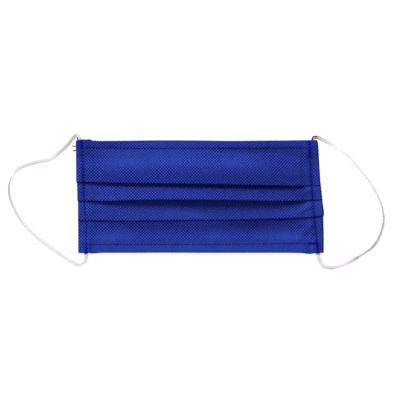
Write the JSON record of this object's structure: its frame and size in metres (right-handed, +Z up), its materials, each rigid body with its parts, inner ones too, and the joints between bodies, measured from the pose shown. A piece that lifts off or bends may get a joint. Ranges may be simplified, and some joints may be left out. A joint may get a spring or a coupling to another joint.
{
  "type": "surgical face mask",
  "caption": "Pleated rectangular cloth face mask with turned-back stitched hems and flat elastic ear loops, lying flat with its outer face up.",
  "frame": {"origin": "under the middle of the mask's body, on the surface that it lies on", "axes": "+X to the right of the outer face along the pleats, +Y to the top edge, +Z up out of the outer face"},
  "size_m": [0.2768, 0.0993, 0.0061],
  "materials": {
    "cloth": "matt blue spunbond cloth with a fine embossed dot pattern",
    "elastic": "matt off-white knitted elastic"
  },
  "bodies": {
    "root": {"pleated_sheet": "cloth", "top_hem": "cloth", "bottom_hem": "cloth", "left_side_hem": "cloth", "right_side_hem": "cloth", "left_ear_loop": "elastic", "right_ear_loop": "elastic"}
  },
  "joints": []
}
